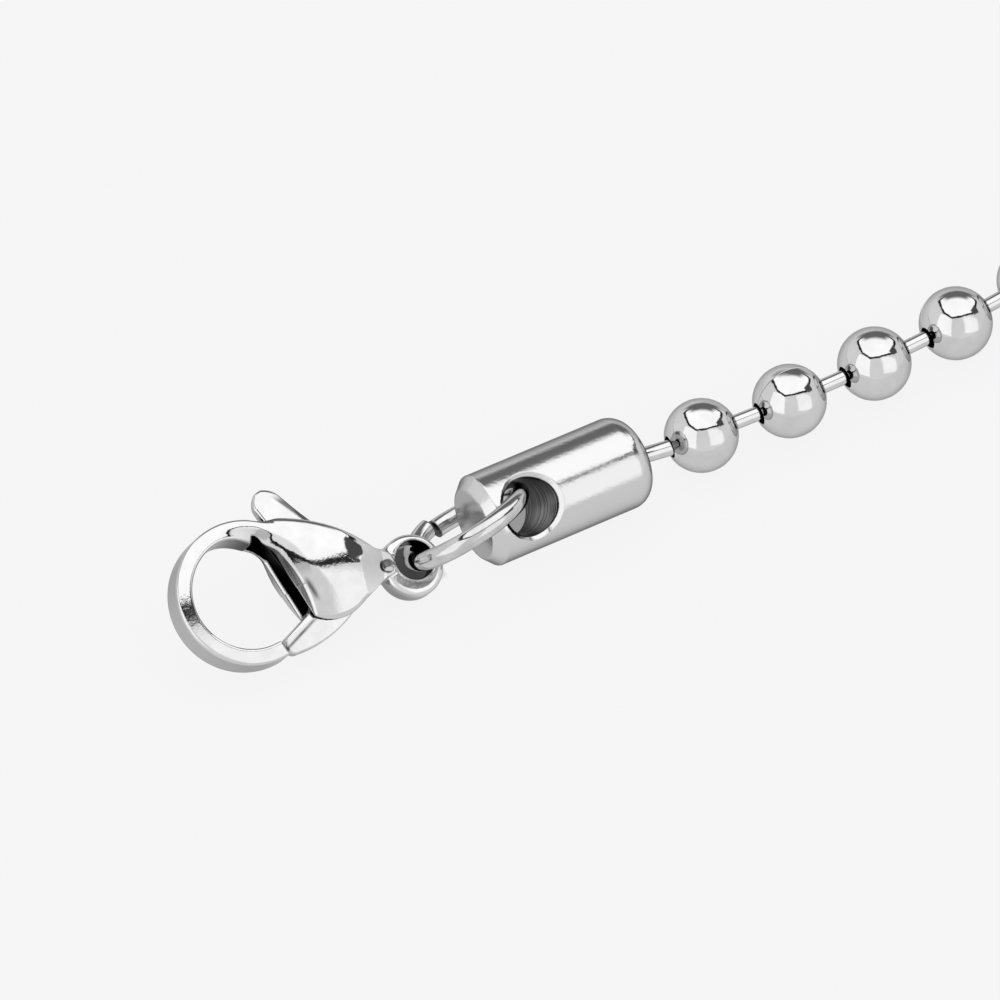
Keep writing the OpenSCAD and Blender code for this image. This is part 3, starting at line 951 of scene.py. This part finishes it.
def ranged(tree, value, low, high, to_low, to_high, turn="LINEAR"):
    """Maps the range from low to high to another one, and stays at its ends outside."""
    node = tree.nodes.new("ShaderNodeMapRange")
    node.interpolation_type = turn
    tree.links.new(value, node.inputs["Value"])
    for key, number in (("From Min", low), ("From Max", high), ("To Min", to_low), ("To Max", to_high)):
        node.inputs[key].default_value = number
    return node.outputs["Result"]


def steel_material(name, roughness, satin=None, grain=0.02, edge=0.5, wear=0.1, tint=0.9, bore=0.1):
    """Steel with an uneven polish and wear.

    With satin, the piece's satin, dark and groove layers are read too: satin is the roughness of
    the dull parts and tint their brightness, and bore is the brightest tone in the dark parts, which are
    mostly painted shade.
    """
    material = bpy.data.materials.new(name)
    material.use_nodes = True
    tree = material.node_tree
    shader = tree.nodes["Principled BSDF"]
    colour = (*settings("stage").steel_colour, 1.0)
    shader.inputs["Metallic"].default_value = 1.0
    shader.inputs["Specular Tint"].default_value = (edge, edge, edge, 1.0)
    place = tree.nodes.new("ShaderNodeTexCoord").outputs["Object"]
    cloud = noise(tree, place, POLISH_SCALE)
    rough = ranged(tree, cloud, *NOISE_PART, roughness * 0.7, roughness * 1.3)
    height = noise(tree, place, RELIEF_SCALE, 4.0)
    tone = ranged(tree, noise(tree, place, WEAR_SCALE, 5.0), *NOISE_PART, 0.0, 1.0)
    worn = tuple(c * (1 - wear) for c in colour[:3]) + (1.0,)
    base = mixed(tree, tone, colour, worn, "RGBA")
    if satin:
        dull = layer(tree, "satin")
        rough = mixed(tree, dull, rough, ranged(tree, cloud, *NOISE_PART, satin * 0.8, satin * 1.2))
        dark = layer(tree, "dark")
        lines = tree.nodes.new("ShaderNodeTexNoise")
        lines.noise_dimensions = "1D"
        lines.inputs["Scale"].default_value = GROOVE_SCALE
        lines.inputs["Detail"].default_value = 4.0
        tree.links.new(layer(tree, "groove"), lines.inputs["W"])
        cut = ranged(tree, lines.outputs["Fac"], *GROOVE_PART, 0.0, 1.0)
        deep = mixed(tree, cut, (*[DARKEST] * 3, 1.0), (*[bore] * 3, 1.0), "RGBA")
        base = mixed(tree, dull, base, tuple(c * tint for c in colour[:3]) + (1.0,), "RGBA")
        base = mixed(tree, dark, base, deep, "RGBA")
        height = mixed(tree, dark, height, lines.outputs["Fac"])
    tree.links.new(base, shader.inputs["Base Color"])
    tree.links.new(rough, shader.inputs["Roughness"])
    bump = tree.nodes.new("ShaderNodeBump")
    bump.inputs["Strength"].default_value = grain
    bump.inputs["Distance"].default_value = RELIEF_HEIGHT
    tree.links.new(height, bump.inputs["Height"])
    tree.links.new(bump.outputs["Normal"], shader.inputs["Normal"])
    return material


_steels = {}


def steel(kind):
    """One material for each finish, made when first asked for."""
    if kind not in _steels:
        recipes = {
            # The clasp's satin parts are coloured brighter than the steel: painted light that lifts the
            # facet
            "polished_clasp": dict(roughness=0.05, satin=0.48, grain=0.06, tint=1.4, bore=0.06),
            "polished_lever": dict(roughness=0.05, satin=0.33, grain=0.05, bore=0.2),
            "satin_cap": dict(
                roughness=0.15, satin=0.15, grain=0.14, edge=0.25, wear=0.25, tint=0.95, bore=0.4),
            "polished_ring": dict(roughness=0.08, satin=0.3, grain=0.04, wear=0.2),
            "polished_balls": dict(roughness=0.04, satin=0.04, grain=0.04, tint=1.0),
            "bright_rods": dict(roughness=0.1),
            "plain_pin": dict(roughness=0.3),
        }
        _steels[kind] = steel_material(kind + "_steel", **recipes[kind])
    return _steels[kind]


# Operators

def skinned(name, ends, field, finish, room, cell, slot, body):
    """One piece for each end: its node, its place, and the same skin of a field."""
    points, quads, normals = skin(field, *room, cell)
    layers = finish(points, normals)
    for node, place in ends:
        piece = mesh_piece(node + "_" + name, place, points, quads, layers, normals)
        dress(piece, steel(slot), body, node)


class NECKLACE_OT_clasp_body(bpy.types.Operator):
    """Clasp body: hook, domed cheeks with the lever's slot, neck and eye"""
    bl_idname = "necklace.clasp_body"
    bl_label = "Clasp body"

    def execute(self, context):
        ends = [("clasp_body", first_ball_place() @ clasp_place())]
        cell = settings("clasp").cell
        skinned("steel", ends, clasp_body_field, body_finish, BODY_ROOM, cell, "polished_clasp", ROOT_BODY)
        return {"FINISHED"}


class NECKLACE_OT_clasp_lever(bpy.types.Operator):
    """Clasp lever: the gate that closes the hook and its thumb tab, and the pin that it turns on"""
    bl_idname = "necklace.clasp_lever"
    bl_label = "Clasp lever"

    def execute(self, context):
        ends = [("clasp_lever", first_ball_place() @ clasp_place())]
        cell = settings("clasp").cell
        skinned("steel", ends, lever_field, lever_finish, LEVER_ROOM, cell, "polished_lever", LEVER_BODY)
        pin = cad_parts["lever_pin"]
        pin.data.materials.clear()
        pin.data.materials.append(steel("plain_pin"))
        return {"FINISHED"}


class NECKLACE_OT_jump_rings(bpy.types.Operator):
    """The jump ring at the clasp and the one at the far end"""
    bl_idname = "necklace.jump_rings"
    bl_label = "Jump rings"

    def execute(self, context):
        points, faces, layers = ring_shape()
        ends = (("clasp_ring", first_ball_place()), ("far_ring", last_ball_place()))
        for node, end in ends:
            piece = mesh_piece(node + "_wire", end @ ring_place(), points, faces, layers)
            close_up(piece.data)
            dress(piece, steel("polished_ring"), ROOT_BODY, node)
        return {"FINISHED"}


class NECKLACE_OT_end_caps(bpy.types.Operator):
    """The barrel cap at each end of the chain"""
    bl_idname = "necklace.end_caps"
    bl_label = "End caps"

    def execute(self, context):
        s = settings("cap")
        spare = 0.1
        r = s.cap_d / 2 + spare
        room = ((-spare, -r, -r), (s.cap_len + spare, r, r))
        ends = [("clasp_end_cap", first_ball_place() @ cap_place()),
                ("far_end_cap", last_ball_place() @ cap_place())]
        skinned("barrel", ends, cap_field, cap_finish, room, s.cell, "satin_cap", ROOT_BODY)
        return {"FINISHED"}


class NECKLACE_OT_balls(bpy.types.Operator):
    """The hollow balls, strung round the loop"""
    bl_idname = "necklace.balls"
    bl_label = "Balls"

    def execute(self, context):
        s = settings("chain")
        first = loop_places()[3]
        material = steel("polished_balls")
        mesh = lathe_mesh("ball", ball_profile(), s.sides, SEAM_DEPTH, OUTER_ROWS)
        piece = string_round("balls", mesh, s.count, first, material, SEAM_FIRST, SEAM_STEP)
        dress(piece, material, ROOT_BODY, "chain_balls")
        return {"FINISHED"}


# Where the end rod's knobs sit, mm: off the cap's end wall, above the cap's axis, and aside from
# the ball's middle
KNOB_CLEARANCE = 0.1
CAP_KNOB_UP = 0.07
BALL_KNOB_ASIDE = (0.0, 0.03, -0.12)


class NECKLACE_OT_rods(bpy.types.Operator):
    """The rods between the balls, and the last one at each end, which reaches into the cap"""
    bl_idname = "necklace.rods"
    bl_label = "Rods"

    def execute(self, context):
        s = settings("chain")
        radius, shift, step, first, _ = loop_places()
        material = steel("bright_rods")
        between = 2 * radius * math.sin(step / 2) - 2 * s.knob_seat
        profile = [(x - between / 2, r) for x, r in rod_profile(between, s.rod_d)]
        mesh = lathe_mesh("rod", profile, ROD_SIDES)
        piece = string_round("rods", mesh, s.count - 1, first + step / 2, material)
        # A rod's middle lies on the straight line between two balls, a little inside their circle
        outwards = radius * (math.cos(step / 2) - 1) * MM
        centre = Vector((0, shift * MM, 0))
        for vertex in piece.data.vertices:
            flat = Vector((vertex.co.x, vertex.co.y, 0)) - centre
            vertex.co += flat.normalized() * outwards
        whole = bmesh.new()
        whole.from_mesh(piece.data)
        for end in (first_ball_place(), last_ball_place()):
            self.add_end_rod(whole, end)
        whole.to_mesh(piece.data)
        whole.free()
        piece.data.polygons.foreach_set("use_smooth", [True] * len(piece.data.polygons))
        dress(piece, material, ROOT_BODY, "chain_links")
        return {"FINISHED"}

    def add_end_rod(self, whole, end):
        """Adds the rod from a knob in the cap to a knob in the ball beside it."""
        s, cap = settings("chain"), settings("cap")
        depth = cap.end_wall + s.knob_d / 2 + KNOB_CLEARANCE
        in_cap = cap_place() @ Vector((cap.cap_len - depth, 0, CAP_KNOB_UP))
        in_ball = Vector((-s.knob_seat, 0, s.ball_d / 2)) + Vector(BALL_KNOB_ASIDE)
        way = in_ball - in_cap
        mesh = lathe_mesh("end_rod", rod_profile(way.length, s.end_rod_d), ROD_SIDES)
        turn = way.to_track_quat("X", "Z").to_matrix().to_4x4()
        place = end @ Matrix.Translation(in_cap) @ turn
        place.translation *= MM
        mesh.transform(place)
        if place.determinant() < 0:
            mesh.flip_normals()
        whole.from_mesh(mesh)
        bpy.data.meshes.remove(mesh)


class NECKLACE_OT_stage(bpy.types.Operator):
    """Floor, soft studio light and camera"""
    bl_idname = "necklace.stage"
    bl_label = "Stage"

    def execute(self, context):
        build_floor()
        build_light()
        build_camera()
        return {"FINISHED"}


# Stage

# Soft dark spots under the caps and the eye, where the object keeps the light off the floor:
# middle, half size and softness in the frame of the ball at that end, mm, and the light that is left
CAP_SHADE = ((-6.9, 0.7), (2.2, 0.9), 0.7, 0.35)
EYE_SHADE = ((-12.75, 0.45), (0.75, 0.95), 0.35, 0.04)
# Half the floor's side and its height, m
FLOOR_HALF = 4.0
FLOOR_LEVEL = -0.00002


def shade_left(tree, place, end, middle, half, soft, least):
    """Light that a soft-edged dark box leaves on the floor, the box in the frame of one end."""
    matrix = (end @ Matrix.Translation((*middle, 0))).inverted()
    shares = []
    for k in range(2):
        way = [matrix[k][m] / MM for m in range(3)]
        along = maths(tree, "DOT_PRODUCT", place, way, kind="ShaderNodeVectorMath")
        off = maths(tree, "ABSOLUTE", maths(tree, "ADD", along, matrix[k][3]))
        shares.append(ranged(tree, off, half[k] - 0.1, half[k] + soft, 1.0, 0.0))
    return ranged(tree, maths(tree, "MULTIPLY", *shares), 0.0, 1.0, 1.0, least)


def build_floor():
    s = settings("stage")
    mesh = bpy.data.meshes.new("floor")
    signs = ((-1, -1), (1, -1), (1, 1), (-1, 1))
    corners = [(x * FLOOR_HALF, y * FLOOR_HALF, FLOOR_LEVEL) for x, y in signs]
    mesh.from_pydata(corners, [], [(0, 1, 2, 3)])
    material = bpy.data.materials.new("light_table")
    material.use_nodes = True
    tree = material.node_tree
    shader = tree.nodes["Principled BSDF"]
    shader.inputs["Base Color"].default_value = (*[s.floor_shade] * 3, 1.0)
    shader.inputs["Roughness"].default_value = 1.0
    shader.inputs["Specular IOR Level"].default_value = 0.0
    shader.inputs["Emission Color"].default_value = (1, 1, 1, 1)
    place = tree.nodes.new("ShaderNodeTexCoord").outputs["Object"]
    first, last = first_ball_place(), last_ball_place()
    glow = s.floor_glow
    for end, shade in ((first, CAP_SHADE), (first, EYE_SHADE), (last, CAP_SHADE)):
        glow = maths(tree, "MULTIPLY", shade_left(tree, place, end, *shade), glow)
    tree.links.new(glow, shader.inputs["Emission Strength"])
    mesh.materials.append(material)
    add_object("floor", mesh)


def seen_from_camera(azimuth, elevation):
    """A direction; azimuth 0 is towards the camera and grows to the camera's right."""
    back = (first_ball_place().to_3x3() @ Vector(CAMERA_BACK)).normalized()
    toward = Vector((back.x, back.y, 0)).normalized()
    right = Vector((-toward.y, toward.x, 0))
    a, e = math.radians(azimuth), math.radians(elevation)
    flat = toward * math.cos(a) + right * math.sin(a)
    return flat * math.cos(e) + Vector((0, 0, math.sin(e)))


def add_panel(tree, direction, below, corners, strength, soft, rim, rim_strength):
    """Paints a studio panel with a darker rim over the world's colour, and returns the result."""
    spots = [seen_from_camera(*corner) for corner in corners]
    middle = sum(spots, Vector()).normalized()
    inside = None
    for p, q in zip(spots, spots[1:] + spots[:1]):
        normal = p.cross(q).normalized()
        if normal.dot(middle) < 0:
            normal.negate()
        edge = maths(tree, "DOT_PRODUCT", direction, normal, kind="ShaderNodeVectorMath")
        inside = edge if inside is None else maths(tree, "SMOOTH_MIN", inside, edge, CORNER_SOFT)
    steps = ((-rim - soft, -rim + soft, rim_strength), (-soft, soft, strength))
    result = below
    for low, high, level in steps[0 if rim else 1:]:
        share = ranged(tree, inside, low, high, 0.0, 1.0, "SMOOTHSTEP")
        result = mixed(tree, share, result, level)
    return result


# How soft a panel's corners are
CORNER_SOFT = 0.06
# Studio panels round the object: corners as azimuth and elevation in degrees, strength,
# softness of the edge, and the width and strength of the dark rim
PANELS = {
    "left": (((-33, 64), (-14, 6), (-60, 2), (-88, 42)), 1.5, 0.03, 0.0, 0.0),
    "overhead": (
        ((-35, 64), (30, 69), (94, 45), (140, 19), (-141, 27), (-88, 55)), 1.6, 0.015, 0.1, 0.03),
    "right": (((40, 62), (27, 14), (68, 0), (84, 26), (78, 44)), 1.45, 0.07, 0.0, 0.0),
    "back_card": (((150, 40), (-150, 42), (-150, 12), (150, 4)), 0.2, 0.13, 0.0, 0.0),
    "side_card": (((99, 50), (91, 36), (106, 22), (126, 32)), 0.1, 0.03, 0.0, 0.0),
}


def build_light():
    world = bpy.data.worlds.new("studio")
    bpy.context.scene.world = world
    world.use_nodes = True
    tree = world.node_tree
    direction = tree.nodes.new("ShaderNodeTexCoord").outputs["Generated"]
    colour = settings("stage").room
    for corners, strength, soft, rim, rim_strength in PANELS.values():
        colour = add_panel(tree, direction, colour, corners, strength, soft, rim, rim_strength)
    tree.links.new(colour, tree.nodes["Background"].inputs["Color"])
    light = bpy.data.lights.new("soft_fill", "AREA")
    light.size = 1.2
    light.energy = 1.5
    lamp = add_object("soft_fill", light)
    lamp.location = (0.1, 0.3, 1.5)
    lamp.rotation_euler = (-lamp.location).to_track_quat("-Z", "Y").to_euler()
    lamp.visible_glossy = False
    bpy.context.scene.view_settings.view_transform = "Standard"


# The camera looks at a point beside the first ball: millimetres and directions in its frame
CAMERA_TARGET = (-8.077, 1.779, 0.0)
CAMERA_BACK = (-0.3077, -0.5714, 0.7608)
CAMERA_RIGHT = (0.8863, -0.463, 0.0107)
CAMERA_DISTANCE = 313.5
PIXELS_PER_MM = 25.2
PICTURE_WIDTH = 1000
SENSOR = 36.0


def build_camera():
    place = first_ball_place()
    back = Vector(CAMERA_BACK).normalized()
    right = Vector(CAMERA_RIGHT)
    right = (right - back * right.dot(back)).normalized()
    up = back.cross(right)
    eye = Vector(CAMERA_TARGET) + back * CAMERA_DISTANCE
    local = Matrix((right, up, back)).transposed().to_4x4()
    local.translation = eye
    world = place @ local
    world.translation *= MM
    data = bpy.data.cameras.new("camera")
    data.sensor_width = SENSOR
    data.lens = PIXELS_PER_MM * CAMERA_DISTANCE / PICTURE_WIDTH * SENSOR
    data.clip_start = 0.01
    data.clip_end = 20
    camera = add_object("camera", data)
    camera.matrix_world = world
    bpy.context.scene.camera = camera


# Panel and registration

class NECKLACE_PT_panel(bpy.types.Panel):
    """Lists the pieces and the stage"""
    bl_idname = "NECKLACE_PT_panel"
    bl_label = "Ball chain necklace"
    bl_space_type = "VIEW_3D"
    bl_region_type = "UI"
    bl_category = "Necklace"

    def draw(self, context):
        for group in GROUPS:
            box = self.layout.box()
            box.label(text=group.capitalize())
            values = settings(group)
            for key in values.__annotations__:
                box.prop(values, key)
        for operator in OPERATORS:
            self.layout.operator(operator.bl_idname)


GROUPS = {
    "chain": ChainSettings, "cap": CapSettings, "ring": RingSettings,
    "clasp": ClaspSettings, "stage": StageSettings,
}
OPERATORS = (
    NECKLACE_OT_clasp_body, NECKLACE_OT_clasp_lever, NECKLACE_OT_jump_rings,
    NECKLACE_OT_end_caps, NECKLACE_OT_balls, NECKLACE_OT_rods, NECKLACE_OT_stage,
)


def register():
    for item in (*GROUPS.values(), *OPERATORS, NECKLACE_PT_panel):
        bpy.utils.register_class(item)
    for name, group in GROUPS.items():
        setattr(bpy.types.Scene, "necklace_" + name, PointerProperty(type=group))


def unregister():
    for name in GROUPS:
        delattr(bpy.types.Scene, "necklace_" + name)
    for item in (NECKLACE_PT_panel, *reversed(OPERATORS), *GROUPS.values()):
        bpy.utils.unregister_class(item)


def main():
    register()
    bpy.ops.necklace.clasp_body()
    bpy.ops.necklace.clasp_lever()
    bpy.ops.necklace.jump_rings()
    bpy.ops.necklace.end_caps()
    bpy.ops.necklace.balls()
    bpy.ops.necklace.rods()
    bpy.ops.necklace.stage()


if __name__ == "__main__":
    main()
